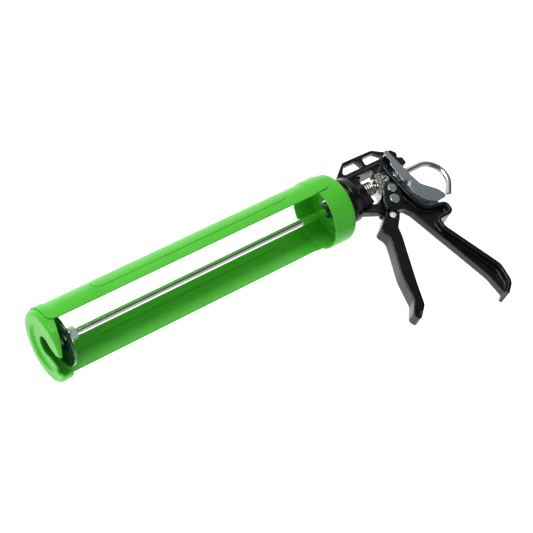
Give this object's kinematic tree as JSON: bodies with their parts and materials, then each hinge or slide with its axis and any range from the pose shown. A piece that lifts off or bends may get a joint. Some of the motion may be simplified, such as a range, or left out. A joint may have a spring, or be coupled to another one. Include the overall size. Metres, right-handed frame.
{
  "type": "caulking gun",
  "caption": "Caulking gun with a turning open steel cradle, a hooked push rod, a squeeze trigger and a thumb release lever.",
  "frame": {"origin": "on the push rod's axis, at the flat front face of the cradle's cap where the cartridge nozzle leaves", "axes": "+X along the rod from the nozzle end to the pull hook, +Y from the handle towards the carrying fin, +Z out of the gun's left side, which lies uppermost"},
  "size_m": [0.3503, 0.1526, 0.0546],
  "materials": {
    "green_enamel": "bright gloss green enamel on pressed sheet steel",
    "black_casting": "semi-gloss black paint on die-cast aluminium",
    "chrome_rod": "bright chrome on drawn steel bar",
    "zinc_plate": "blue-white bright zinc plating",
    "spring_steel": "bright zinc-plated spring wire",
    "hardened_steel": "ground, hardened steel plate with yellowish plating",
    "piston_steel": "dark glossy plating on pressed steel",
    "bronze": "sintered bronze",
    "clip_steel": "phosphated spring steel"
  },
  "bodies": {
    "frame": {"frame": "black_casting", "rear_bush": "zinc_plate", "pivot_bush": "bronze", "retaining_nut": "zinc_plate", "friction_washer": "zinc_plate", "main_spring": "spring_steel", "release_spring": "spring_steel"},
    "cradle": {"front_cap": "green_enamel", "cradle_channel": "green_enamel", "rear_collar": "green_enamel"},
    "rod": {"push_rod": "chrome_rod", "piston_plate": "piston_steel", "piston_washer": "zinc_plate", "piston_nut": "zinc_plate"},
    "trigger": {"trigger": "black_casting", "pivot_pin": "zinc_plate", "drive_pin": "zinc_plate", "drive_roller": "hardened_steel", "pin_clips": "clip_steel"},
    "drive_plates": {"drive_plate_front": "hardened_steel", "drive_plate_rear": "hardened_steel"},
    "lever": {"release_lever": "zinc_plate"}
  },
  "joints": [
    {"name": "cradle_spin", "type": "hinge", "parent": "frame", "child": "cradle", "pos_m": [0.25, 0, 0], "axis": [1, 0, 0], "continuous": true},
    {"name": "rod_slide", "type": "slide", "parent": "frame", "child": "rod", "axis": [1, 0, 0], "range_m": [0, 0.215]},
    {"name": "trigger_pull", "type": "hinge", "parent": "frame", "child": "trigger", "pos_m": [0.2906, -0.0186, 0], "axis": [0, 0, 1], "range_deg": [0, 36], "stiffness_Nm_per_rad": 0.4, "springref_deg": -17.19},
    {"name": "plates_slide", "type": "slide", "parent": "frame", "child": "drive_plates", "axis": [1, 0, 0], "range_m": [-0.0062, 0], "deforming": ["main_spring"]},
    {"name": "lever_release", "type": "hinge", "parent": "frame", "child": "lever", "pos_m": [0.3103, 0.0176, 0], "axis": [0, 0, 1], "range_deg": [-2.5, 0], "stiffness_Nm_per_rad": 0.6, "springref_deg": 17.19, "deforming": ["release_spring"]}
  ],
  "couplings": [
    {"joint": "plates_slide", "follows": "trigger_pull", "m_per_rad": -0.00936}
  ]
}
